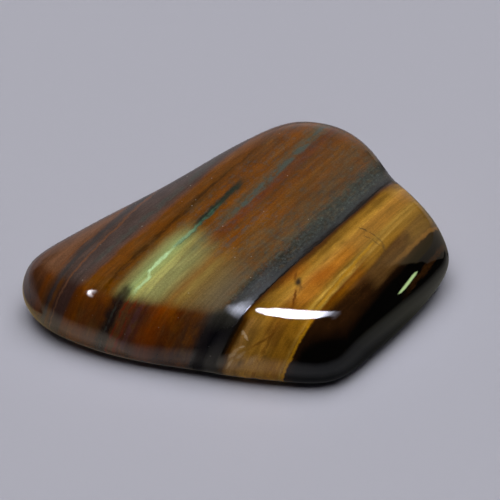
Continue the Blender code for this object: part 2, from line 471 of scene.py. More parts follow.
@dataclass(frozen=True)
class PolishedTigersEye:
    """Tumble-polished tiger's eye: quartz full of parallel iron-stained fibres.

    Polishing gives it a clear, glassy surface with sharp highlights, and under that the
    fibres give a silky look that changes along the bands; on the broad face much of that look
    is a sheen painted into the colour. The grey band is softer than the rest, so there the
    polish stays satin and a highlight breaks up along the fibres.
    """

    name: str = "tumble_polished_tigers_eye"
    ior: float = 1.54
    glass_roughness: float = 0.03
    silk_roughness: float = 0.55
    satin_coat: float = 0.9
    dull_coat: float = 0.3
    satin_relief: float = 0.026 * MM
    polish_relief: float = 0.0003 * MM

    def material(self) -> bpy.types.Material:
        """Builds the finish.

        Returns:
            The material.
        """
        material = bpy.data.materials.new(self.name)
        material.use_nodes = True
        material.node_tree.nodes.clear()
        StoneTree(self, material.node_tree).finish()
        return material


class StoneTree:
    """The node tree of the stone.

    `across`, `along` and `height` are places in millimetres that every pattern reads, and
    `ground` is the colour so far.
    """

    def __init__(self, finish: PolishedTigersEye, tree: bpy.types.NodeTree) -> None:
        """Lays out the places that every pattern reads.

        Args:
            finish: the sizes of the finish.
            tree: the empty node tree.
        """
        self.sizes = finish
        self.tree = tree
        self.ground: object = Tone.NEAR_BLACK
        place = self.add("TexCoord").outputs["Object"]
        turn = (0.0, -math.radians(BAND_ELEVATION), math.radians(BAND_AZIMUTH))
        # X looks across the sheets, Y along them and Z through them, in millimetres.
        turned = {"Vector": place, "Rotation": turn, "Scale": (MM, MM, MM)}
        self.sheet = self.add("Mapping", turned, vector_type="TEXTURE")
        parts = self.add("SeparateXYZ", self.sheet)
        self.along = parts.outputs["Y"]
        level = self.add("SeparateXYZ", place).outputs["Z"]
        self.height = self.add("Math", level, 1 / MM, operation="MULTIPLY")
        self.across = self.unslanted(parts.outputs["X"])
        # The same place with a fringe of 0.1 mm, for lines whose edges are frayed.
        self.frayed = self.shaken(self.across, self.streaks((3.0, 1.6, 2.0), 2.0, 17.0), 0.34)
        self.dashes = self.streaks((2.2, 1.1, 1.0), 2.0, 43.0)
        # Places for stains and scratches wander a little every 0.5 mm, or they would look
        # ruled.
        noise = self.add("TexNoise", {"Vector": self.sheet, "Scale": 2.0, "Detail": 2.0})
        wander = self.add("VectorMath", noise.outputs["Color"], (0.5,) * 3, operation="SUBTRACT")
        self.wandered = self.add(
            "VectorMath", wander, (0.25,) * 3, self.sheet, operation="MULTIPLY_ADD"
        )

    def add(self, kind: str, *feeds: object, **settings: object) -> bpy.types.Node:
        """Adds a node to this tree."""
        return add_node(self.tree, kind, *feeds, **settings)

    def shaken(self, place: object, noise: object, depth: float) -> bpy.types.Node:
        """A place that a noise moves to and fro.

        Args:
            place: the place.
            noise: the noise, about 0.5 in the middle.
            depth: how far a noise of 1 would move it, in millimetres.

        Returns:
            The moved place.
        """
        wave = self.add("Math", noise, 0.5, operation="SUBTRACT")
        return self.add("Math", wave, depth, place, operation="MULTIPLY_ADD")

    def unslanted(self, raw: bpy.types.NodeSocket) -> bpy.types.Node:
        """Place across the bands, with their slant and their waviness taken out.

        Args:
            raw: the plain distance across the sheets.

        Returns:
            The place at which the colours of the bands are read.
        """
        greys = [((slant / STEEPEST_SLANT,) * 3 + (1.0,), place) for place, slant in SLANTS]
        share = self.palette(raw, SLANT_SPAN, greys)
        slant = self.add("Math", share, STEEPEST_SLANT, operation="MULTIPLY")
        straight = self.add("Math", slant, self.along, raw, operation="MULTIPLY_ADD")
        # Waviness: 0.1 mm over some 6 mm along a band, and 0.05 mm over 1 mm.
        straight = self.shaken(straight, self.streaks((0.5, 0.16, 0.3), 2.0, 3.0), 0.30)
        return self.shaken(straight, self.streaks((1.2, 0.9, 0.35), 2.0, 11.0), 0.14)

    def streaks(
        self, per_mm: tuple[float, float, float], detail: float, seed: float, rough: float = 0.5
    ) -> bpy.types.NodeSocket:
        """Noise drawn out along the fibres.

        Args:
            per_mm: how many features there are per millimetre across, along and through.
            detail: how many finer layers lie on the first.
            seed: where in the noise the pattern starts.
            rough: how strong the finer layers are.

        Returns:
            The noise, about 0.3 to 0.7.
        """
        drawn_out = {"Vector": self.sheet, "Location": (seed,) * 3, "Scale": per_mm}
        spread = self.add("Mapping", drawn_out)
        noise = {"Vector": spread, "Scale": 1.0, "Detail": detail, "Roughness": rough}
        return self.add("TexNoise", noise).outputs[0]

    def palette(
        self, place: object, span: tuple[float, float], bands: tuple | list
    ) -> bpy.types.Node:
        """A colour by place.

        Args:
            place: the place, in millimetres.
            span: the places at the palette's two ends.
            bands: each band's colour, as a tone or linear values, and where it is pure.

        Returns:
            The palette's node.
        """
        share = self.add("MapRange", place, *span)
        node = self.add("ValToRGB", share)
        stops = [(where, colour) for colour, *places in bands for where in places]
        elements = node.color_ramp.elements
        while len(elements) < len(stops):
            elements.new(0.5)
        for element, (where, _) in zip(elements, stops):
            element.position = (where - span[0]) / (span[1] - span[0])
        for element, (_, colour) in zip(elements, stops):
            element.color = colour.linear if isinstance(colour, Tone) else colour
        return node

    def patch(
        self, across: Fade | None = None, along: Fade | None = None, height: Fade | None = None
    ) -> object:
        """Where a stretch across, a stretch along and a stretch of height meet.

        Args:
            across: the stretch across the bands.
            along: the stretch along them.
            height: the stretch over the ground.

        Returns:
            The mask, 1 inside, or just 1 where nothing bounds it.
        """
        mask = 1.0
        for place, fade in ((self.across, across), (self.along, along), (self.height, height)):
            fade = fade or ANY_HEIGHT
            for middle, edge in ((fade.start, fade.start_edge), (fade.end, -fade.end_edge)):
                if edge:
                    ends = (middle - edge / 2, middle + edge / 2)
                    side = self.add("MapRange", place, *ends, interpolation_type="SMOOTHSTEP")
                    mask = self.add("Math", side, mask, operation="MULTIPLY")
        return mask

    def paint(self, colour: object, strength: float, *masks: object) -> None:
        """Lays a colour over the ground.

        Args:
            colour: what is laid over it.
            strength: how much of it, at most.
            masks: where it goes.
        """
        share = strength
        for mask in masks:
            share = self.add("Math", mask, share, operation="MULTIPLY")
        layers = {"Factor": share, "A": self.ground, "B": colour}
        self.ground = self.add("Mix", layers, data_type="RGBA")

    def tint(self, noise: object, depth: float) -> None:
        """Makes the ground lighter and darker with a noise.

        Args:
            noise: the noise, about 0.3 to 0.7.
            depth: how much lighter or darker it gets, as a share.
        """
        light = self.add("MapRange", noise, 0.3, 0.7, 1 - depth, 1 + depth)
        layers = {"Factor": 1.0, "A": self.ground, "B": light}
        self.ground = self.add("Mix", layers, data_type="RGBA", blend_type="MULTIPLY")

    def mottle(
        self,
        noise: object,
        reach: tuple[float, float],
        high: tuple[Tone, float, object],
        low: tuple[Tone, float, object],
    ) -> None:
        """Paints one tone where a noise runs high and another where it runs low.

        Args:
            noise: the noise, 0.5 in the middle.
            reach: how far from the middle a tone comes in, and where it is full.
            high: the first tone, how strong it is, and where it goes.
            low: the same for the second.
        """
        for (tone, strength, where), way in ((high, 1), (low, -1)):
            ends = (0.5 + way * reach[0], 0.5 + way * reach[1])
            self.paint(tone, strength, self.add("MapRange", noise, *ends), where)

    def bands(self) -> None:
        """Lays the sheets of colour, from the iron-brown end to the near-black one."""
        edge = self.patch(height=WORN_EDGE)
        self.ground = self.palette(self.across, GOLD_SPAN, GOLD_BANDS)
        self.paint(self.palette(self.across, GOLD_SPAN, EDGE_GOLD_BANDS), 1.0, edge)
        # Long streaks of lighter and darker gold, 0.3 mm wide, and clouds of 1 mm.
        self.tint(self.streaks((3.0, 0.14, 0.3), 3.0, 51.0, 0.6), 0.15)
        self.tint(self.streaks((1.1, 0.5, 0.5), 3.0, 57.0, 0.6), 0.22)
        gold = self.ground
        # The bands run into each other in wedges, some 0.6 mm wide and 3 mm long.
        wedges = self.shaken(self.across, self.streaks((1.6, 0.35, 0.6), 3.0, 83.0, 0.6), 1.0)
        self.ground = self.palette(wedges, BROWN_SPAN, BROWN_BANDS)
        self.paint(self.palette(self.across, BROWN_SPAN, EDGE_BANDS), 1.0, edge)
        ragged = self.add("MapRange", self.frayed, SEAM - SEAM_RAGGED, SEAM + SEAM_RAGGED)
        self.paint(gold, 1.0, ragged)
        back = self.add("Math", self.along, DARK_FROM, operation="ADD")
        shelf = self.add("MapRange", back, 0.0, DARK_RUN, 0.0, DARK_SHIFT)
        place = self.add("Math", self.across, shelf, operation="ADD")
        self.paint(Tone.NEAR_BLACK, 1.0, self.add("MapRange", place, *DARK_END))

    def weather(self) -> None:
        """Adds broad differences in hue: rusty and olive streaks, grey towards the back."""
        brown_side = self.patch(Fade(-5.8, 0.6, 3.2, 0.8))
        # Streaks 0.7 mm wide and some 10 mm long, and blotches of 1 mm by 3 mm.
        for noise, rust, moss in (
            (self.streaks((1.5, 0.09, 0.25), 3.0, 21.0, 0.6), 0.45, 0.40),
            (self.streaks((0.9, 0.35, 0.4), 4.0, 25.0, 0.65), 0.60, 0.42),
        ):
            rusty, olive = (Tone.COPPER, rust, brown_side), (Tone.MOTTLED_OLIVE, moss, brown_side)
            self.mottle(noise, (0.0, 0.18), rusty, olive)
        self.tint(self.streaks((1.5, 0.5, 0.5), 4.0, 27.0, 0.65), 0.16)
        # Brown flecks in the grey band and grey ones beside it, 0.4 mm wide.
        brown = (Tone.DUN, 0.55, self.patch(Fade(3.2, 0.8, 4.9, 0.6), None, BROAD_FACE))
        grey = (Tone.BLUE_STEEL, 0.50, self.patch(Fade(2.2, 1.4, 4.2, 0.6), None, BROAD_FACE))
        self.mottle(self.streaks((2.4, 1.0, 1.0), 3.0, 29.0, 0.65), (0.02, 0.16), brown, grey)
        # Fine specks, about 0.2 mm, where the grey fibres and the brown ones are cut at a slant.
        side = self.patch(Fade(3.6, 0.8, 4.95, 0.35), None, BROAD_FACE)
        pale, dark = (Tone.TEAL_GREY, 0.36, side), (Tone.SOOT, 0.42, side)
        self.mottle(self.streaks((4.6, 4.0, 4.6), 3.0, 91.0, 0.75), (0.02, 0.12), pale, dark)
        # Mottling of 0.4 mm by 0.7 mm on the brown side.
        side = self.patch(Fade(-4.4, 1.0, 4.0, 1.0), None, BROAD_FACE)
        pale, rusty = (Tone.SLATE_TEAL, 0.36, side), (Tone.COPPER, 0.42, side)
        self.mottle(self.streaks((2.6, 1.5, 2.0), 4.0, 97.0, 0.7), (0.0, 0.16), pale, rusty)
        for tone, strength, *where in WASHES:
            self.paint(tone, strength, self.patch(*where))

    def paint_sheen(self) -> None:
        """Paints a sheen into the broad face, towards the pointed end: the fibres' silky light."""
        where = self.patch(*PAINTED_SHEEN_PLACE)
        uneven = self.add("MapRange", self.streaks((1.6, 0.25, 0.3), 2.0, 63.0), 0.25, 0.5, 0.8)
        self.paint(self.palette(self.across, PAINTED_SHEEN_SPAN, PAINTED_SHEEN_TONES), 1.0, where, uneven)

    def thread(self, thread: Thread) -> None:
        """Draws one thread.

        Args:
            thread: the thread.
        """
        drift = -thread.drift
        course = self.add("Math", self.along, drift, self.frayed, operation="MULTIPLY_ADD")
        off = self.add("Math", course, thread.place, operation="SUBTRACT")
        aside = self.add("Math", off, operation="ABSOLUTE")
        # Its sides are soft: it is full to 0.4 of the half width and gone at 1.4.
        width = (thread.half_width * 1.4, thread.half_width * 0.4)
        masks = [self.add("MapRange", aside, *width, interpolation_type="SMOOTHSTEP")]
        masks.append(self.patch(None, thread.along, thread.height))
        if thread.broken:
            masks.append(self.add("MapRange", self.dashes, 0.38, 0.52, 0.15))
        self.paint(thread.tone, thread.strength, *masks)

    def stroke(self, stroke: Stroke) -> None:
        """Draws one stain, crack or scratch.

        Args:
            stroke: the stroke.
        """
        (x, y), (end_x, end_y) = stroke.start, stroke.end
        run = (end_x - x, end_y - y)
        middle = ((x + end_x) / 2, (y + end_y) / 2)
        reach, half_width = math.hypot(*run) / 2 + stroke.half_width, stroke.half_width * 1.3
        if stroke.on_edge:
            # It goes 5 mm into the stone either way, from 8 mm in front of the middle.
            place = (middle[0], -8.0, middle[1])
            turn = (0.0, math.atan2(-run[1], run[0]), 0.0)
            size = (reach, 5.0, half_width)
        else:
            # It goes 3 mm into the stone either way, from 9 mm through the sheets.
            place = (*middle, 9.0)
            turn = (0.0, 0.0, math.atan2(run[1], run[0]))
            size = (reach, half_width, 3.0)
        room = {"Vector": self.wandered, "Location": place, "Rotation": turn, "Scale": size}
        inside = self.add("Mapping", room, vector_type="TEXTURE")
        length = self.add("VectorMath", inside, operation="LENGTH").outputs["Value"]
        ends = (1.0, stroke.hardness)
        mask = self.add("MapRange", length, *ends, interpolation_type="SMOOTHSTEP")
        self.paint(stroke.tone, stroke.strength, mask)

    def specks(self) -> None:
        """Adds painted glints, 0.1 mm across: sparse bright grains where a fibre end faces the
        light.
        """
        cells = self.add("TexVoronoi", {"Vector": self.sheet, "Scale": 1.2})
        dots = self.add("MapRange", cells.outputs["Distance"], 0.08, 0.035)
        picked = self.add("MapRange", cells.outputs["Color"], 0.5, 0.8)
        self.paint(Tone.PAINTED_GLINT, 0.32, dots, picked, self.patch(Fade(-9.0, 1.0, 5.0, 0.4)))

    def colour(self) -> object:
        """Paints the whole colour of the stone, with a painted sheen, haze and glints.

        Returns:
            The last colour node.
        """
        self.bands()
        self.weather()
        # The silky light of the fibres, painted into the colour.
        self.paint_sheen()
        # Silky streaks, 0.18 mm wide and 3 mm long, and 0.5 mm wide and 7 mm long. The real
        # fibres are far finer: these are drawn coarser, so that they show.
        self.tint(self.streaks((5.5, 0.34, 0.6), 4.0, 31.0, 0.6), 0.18)
        self.tint(self.streaks((2.0, 0.14, 0.3), 2.0, 37.0), 0.12)
        for thread in THREADS:
            self.thread(thread)
        for stroke in STROKES:
            self.stroke(stroke)
        # A painted haze of reflected light that grows towards the back, where the fibres tip away.
        haze_fade = self.add("MapRange", self.along, -4.0, 10.0)
        self.paint(Tone.PAINTED_HAZE, 0.04, haze_fade, self.patch(Fade(-12.0, 0.0, 5.6, 0.4)))
        # Quartz grain, 0.12 mm.
        grain = {"Vector": self.sheet, "Scale": 9.0, "Detail": 2.0, "Roughness": 0.7}
        self.tint(self.add("TexNoise", grain).outputs[0], 0.19)
        # Painted glints of fibre ends.
        self.specks()
        return self.ground

    def relief(self, grey: object) -> bpy.types.Node:
        """The surface as the light meets it: smooth polish, and the brushed look of satin.

        Args:
            grey: where the soft grey band is.

        Returns:
            The node that gives the normal.
        """
        # Fibre ends 0.05 mm apart, with finer ones between. The real ones are finer still.
        fibre_ends = self.streaks((20.0, 11.0, 16.0), 3.0, 71.0, 0.8)
        depths = {"To Min": self.sizes.polish_relief, "To Max": self.sizes.satin_relief}
        depth = self.add("MapRange", {"Value": grey, **depths})
        rise = self.add("Math", fibre_ends, depth, operation="MULTIPLY")
        return self.add("Bump", {"Height": rise, "Strength": 1.0, "Distance": 1.0})

    def finish(self) -> None:
        """Joins colour, silk and glass in one shader."""
        grey = self.patch(Fade(4.4, 1.7, 5.4, 0.15))
        coats = {"To Min": 1.0, "To Max": self.sizes.satin_coat}
        gloss = self.add("MapRange", {"Value": grey, **coats})
        # The side of the grey band that grades into the brown takes the least polish.
        dull = self.patch(Fade(3.6, 0.6, 4.5, 0.6))
        coats = {"To Min": gloss, "To Max": self.sizes.dull_coat}
        gloss = self.add("MapRange", {"Value": dull, **coats})
        normal = self.relief(grey)
        surface = {
            "Base Color": self.colour(),
            "Roughness": self.sizes.silk_roughness,
            "IOR": self.sizes.ior,
            "Normal": normal,
            "Specular IOR Level": 0.0,
            "Coat Weight": gloss,
            "Coat Roughness": self.sizes.glass_roughness,
            "Coat IOR": self.sizes.ior,
            "Coat Normal": normal,
        }
        self.add("OutputMaterial", {"Surface": self.add("BsdfPrincipled", surface)})


class Wave(NamedTuple):
    """Slow unevenness that a break keeps: its direction, length and phase."""

    azimuth: float
    length: float
    phase: float


@dataclass
class Pebble:
    """The stone: worn faces blended into each other, and the wear between its bands."""

    # The flat breaks that the tumbler wore: the compass direction in which each looks and how
    # far upward, in degrees, and its distance from the core, in millimetres.
    worn_faces: dict[str, tuple[float, float, float]] = field(
        default_factory=lambda: {
            "top": (0, 90, 4.2), "back_left": (126, 16, 9.5), "back_right": (77, 8, 14.84),
            "right_back": (34, 14, 14.8), "right": (0, 0, 20.8), "front_right": (-42, 11, 11.9),
            "corner": (-75, 11, 15.1), "shoulder": (-42, 40, 10.7), "front_gold": (-94, 12, 9.2),
            "front": (-106, 12, 9.25), "front_left": (-128, 14, 13.7), "tip": (-162, 0, 17.8),
            "under_back": (95, -42, 12.9), "under_left": (-155, -45, 15.1),
            "under_front": (-99, -60, 8.05), "under_right": (-10, -50, 12.7),
            "belly_left": (175, -83, 5.5), "belly_back": (80, -82, 5.8),
            "belly_right": (-5, -83, 5.5), "bottom": (0, -90, 4.5),
        }
    )
    core: tuple[float, float, float] = (0.0, 0.0, 4.5 * MM)
    blend: float = 0.9 * MM
    valley_place: float = 2.95 * MM
    valley_width: float = 2.1 * MM
    valley_depths: tuple[float, float] = (0.05 * MM, 0.24 * MM)
    valley_ends: tuple[float, float] = (-3.0 * MM, 7.0 * MM)
    waves: tuple[Wave, ...] = (
        Wave(20, 11.0 * MM, 0.4),
        Wave(85, 14.0 * MM, 2.1),
        Wave(150, 9.0 * MM, 4.0),
    )
    wave_height: float = 0.03 * MM
    rest_level: float = 0.22 * MM
    # The hard gold stands out of the soft grey band, with a groove at the seam between them.
    gold_rise: float = 0.05 * MM
    gold_fade: float = 1.8 * MM
    seam_slope: float = 0.25 * MM
    groove_depth: float = 0.025 * MM
    ridges: tuple[Wave, ...] = (
        Wave(BAND_AZIMUTH, 1.7 * MM, 0.3),
        Wave(BAND_AZIMUTH, 1.1 * MM, 2.0),
        Wave(BAND_AZIMUTH, 0.8 * MM, 4.4),
    )
    ridge_height: float = 0.0006 * MM
    # Small dents where splinters of the gold's edge came away.
    dents: tuple[tuple[float, float, float], ...] = (
        (0.9 * MM, -10.6 * MM, 5.85 * MM),
        (0.4 * MM, -10.9 * MM, 4.6 * MM),
        (0.0 * MM, -11.1 * MM, 3.5 * MM),
    )
    dent_radius: float = 0.4 * MM
    dent_depth: float = 0.03 * MM
    block_half: tuple[float, float, float] = (17.0 * MM, 12.0 * MM, 4.2 * MM)
    block_cells: tuple[int, int, int] = (30, 22, 12)
    spreading_rounds: int = 12
    finer_cuts: int = 4
    finer_rounds: int = 3
    search_steps: int = 24
    search_reach: float = 40.0 * MM
    # The relief fades out over 1 mm from this height, in millimetres.
    relief_from: float = 0.3
    sharp_angle: float = 35.0

    def __post_init__(self) -> None:
        """Turns the worn faces into the normals and distances that the blend reads."""
        faces = self.worn_faces.values()
        self.normals = np.array([direction(azimuth, elevation) for azimuth, elevation, _ in faces])
        self.distances = np.array([distance for _, _, distance in faces]) * MM
        self.across_bands = direction(BAND_AZIMUTH, BAND_ELEVATION)
        self.middle = np.array(self.core)

    def valley_depth(self, points: np.ndarray) -> np.ndarray:
        """Depth of the valley that the tumbler wore along the grey band.

        Args:
            points: the points, one to a row, in metres.

        Returns:
            A depth for each point.
        """
        across = (points @ self.across_bands - self.valley_place) / self.valley_width
        start, end = self.valley_ends
        shallow, deep = self.valley_depths
        back = np.clip((points[:, 1] - start) / (end - start), 0.0, 1.0)
        return (shallow + (deep - shallow) * back) * np.exp(-across * across)

    def unevenness(self, points: np.ndarray) -> np.ndarray:
        """Height of the slow unevenness at each point.

        Args:
            points: the points, one to a row, in metres.

        Returns:
            A height for each point.
        """
        height = np.zeros(len(points))
        for wave in self.waves:
            along = points @ direction(wave.azimuth, 0)
            height += self.wave_height * np.sin(2 * math.pi * along / wave.length + wave.phase)
        return height

    def outside_by(self, points: np.ndarray) -> np.ndarray:
        """How far each point lies outside the worn surface; negative inside.

        Args:
            points: the points, one to a row, in metres.

        Returns:
            A distance for each point.
        """
        over = ((points - self.middle) @ self.normals.T - self.distances) / self.blend
        highest = over.max(axis=1)
        blended = highest + np.log(np.exp(over - highest[:, None]).sum(axis=1))
        return blended * self.blend + self.valley_depth(points) - self.unevenness(points)

    def push_out(self, mesh: bmesh.types.BMesh) -> None:
        """Puts every point of the mesh onto the worn surface, along its ray from the core.

        Args:
            mesh: the mesh of the stone, which is changed.
        """
        rays = np.array([vert.co for vert in mesh.verts]) - self.middle
        rays /= np.linalg.norm(rays, axis=1, keepdims=True)
        inside = np.zeros(len(rays))
        outside = np.full(len(rays), self.search_reach)
        for _ in range(self.search_steps):
            halfway = (inside + outside) / 2
            within = self.outside_by(self.middle + rays * halfway[:, None]) < 0
            inside = np.where(within, halfway, inside)
            outside = np.where(within, outside, halfway)
        surface = self.middle + rays * inside[:, None]
        for vert, place in zip(mesh.verts, surface):
            vert.co = place

    def spread(self, mesh: bmesh.types.BMesh, rounds: int) -> None:
        """Evens out the points over the surface.

        Args:
            mesh: the mesh, already on the surface.
            rounds: how many times to smooth it and push it out again.
        """
        for _ in range(rounds):
            bmesh.ops.smooth_vert(
                mesh, verts=mesh.verts, factor=0.5,
                use_axis_x=True, use_axis_y=True, use_axis_z=True,
            )
            self.push_out(mesh)

    def gridded_block(self) -> bmesh.types.BMesh:
        """A block round the core, its faces divided into cells.

        Returns:
            The mesh that becomes the stone.
        """
        mesh = bmesh.new()
        bmesh.ops.create_cube(mesh, size=2.0)
        for axis, cells in enumerate(self.block_cells):
            along = [e for e in mesh.edges if abs(e.verts[0].co[axis] - e.verts[1].co[axis]) > 1.0]
            bmesh.ops.subdivide_edges(mesh, edges=along, cuts=cells - 1, use_grid_fill=True)
        bmesh.ops.scale(mesh, verts=mesh.verts, vec=self.block_half)
        bmesh.ops.translate(mesh, verts=mesh.verts, vec=self.core)
        return mesh

    def flatten_underside(self, mesh: bmesh.types.BMesh) -> None:
        """Cuts the lowest part level and closes it with one flat face.

        Args:
            mesh: the mesh of the stone, which is changed.
        """
        lowest = min(vert.co.z for vert in mesh.verts)
        cut = bmesh.ops.bisect_plane(
            mesh,
            geom=mesh.verts[:] + mesh.edges[:] + mesh.faces[:],
            plane_co=(0.0, 0.0, lowest + self.rest_level),
            plane_no=(0.0, 0.0, -1.0),
            clear_outer=True,
        )
        rim = [item for item in cut["geom_cut"] if isinstance(item, bmesh.types.BMEdge)]
        bmesh.ops.holes_fill(mesh, edges=rim)

    def stand_in_box(self, mesh: bmesh.types.BMesh, box: tuple) -> None:
        """Moves the mesh to stand where the solid stands.

        Args:
            mesh: the mesh.
            box: the solid's lowest and highest corners.
        """
        points = np.array([vert.co for vert in mesh.verts])
        own_low, own_high = points.min(axis=0), points.max(axis=0)
        low, high = (np.array(corner) for corner in box)
        shift = (low + high - own_low - own_high) / 2
        shift[2] = low[2] - own_low[2]
        bmesh.ops.translate(mesh, verts=mesh.verts, vec=shift)

    def band_relief(self, points: np.ndarray) -> np.ndarray:
        """How far each point stands out, by how hard its band is.

        Args:
            points: the points, one to a row, in metres.

        Returns:
            A height for each point.
        """
        across = points @ self.across_bands
        past_seam = across - SEAM * MM
        step = (1 + np.tanh(past_seam / self.seam_slope)) / 2
        height = self.gold_rise * step * np.exp(-np.clip(past_seam, 0.0, None) / self.gold_fade)
        height -= self.groove_depth * np.exp(-((past_seam / self.seam_slope) ** 2))
        for ridge in self.ridges:
            height += self.ridge_height * np.sin(2 * math.pi * across / ridge.length + ridge.phase)
        for dent in self.dents:
            away = np.linalg.norm(points - np.array(dent), axis=1) / self.dent_radius
            height -= self.dent_depth * np.exp(-(away**2))
        # The face that the stone lies on stays flat.
        return height * np.clip(points[:, 2] / MM - self.relief_from, 0.0, 1.0)

    def wear_bands(self, mesh: bmesh.types.BMesh) -> None:
        """Moves each point out or in by the relief of its band.

        Args:
            mesh: the mesh of the stone, which is changed.
        """
        mesh.normal_update()
        heights = self.band_relief(np.array([vert.co for vert in mesh.verts]))
        for vert, height in zip(mesh.verts, heights):
            vert.co += vert.normal * height

    def build(self) -> bpy.types.Object:
        """Models the stone and puts it in the solid's place.

        Returns:
            The stone, without its finish.
        """
        mesh = self.gridded_block()
        self.push_out(mesh)
        self.spread(mesh, self.spreading_rounds)
        edges = mesh.edges[:]
        bmesh.ops.subdivide_edges(mesh, edges=edges, cuts=self.finer_cuts, use_grid_fill=True)
        self.push_out(mesh)
        self.spread(mesh, self.finer_rounds)
        self.flatten_underside(mesh)
        self.stand_in_box(mesh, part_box("tigers_eye"))
        bmesh.ops.triangulate(mesh, faces=[face for face in mesh.faces if len(face.verts) > 4])
        bmesh.ops.recalc_face_normals(mesh, faces=mesh.faces[:])
        self.wear_bands(mesh)
        pebble = put_in_scene("tumbled_pebble", mesh)
        pebble.data.shade_smooth()
        pebble.data.set_sharp_from_angle(angle=math.radians(self.sharp_angle))
        return pebble

    def dress(self, pebble: bpy.types.Object) -> None:
        """Gives the stone its finish and ties it to the solid that it stands for.

        Args:
            pebble: the stone.
        """
        pebble.data.materials.append(PolishedTigersEye().material())
        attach(pebble, "root")
        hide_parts("tigers_eye")


class Card(NamedTuple):
    """A glowing card that is only seen in the polish, as rows of spots.

    It hangs at a distance from the point that it faces, in the direction `toward`, with its
    height along `up`. A row says how far right its spots are and how far up, in millimetres,
    and how they glow. One number holds for the whole row. Between the spots the glow changes
    evenly, so that a highlight can end in a clean line on one side and fade on the other.
    """

    faces: tuple[float, float, float]
    toward: tuple[float, float, float]
    up: tuple[float, float, float]
    distance: float
    colour: str
    rows: tuple[tuple, ...]


class Glow(NamedTuple):
    """How the floor shines at one side of the stone: direction, strength, colour, reach."""

    azimuth: float
    radiance: float
    colour: str
    reach: float = 1.0


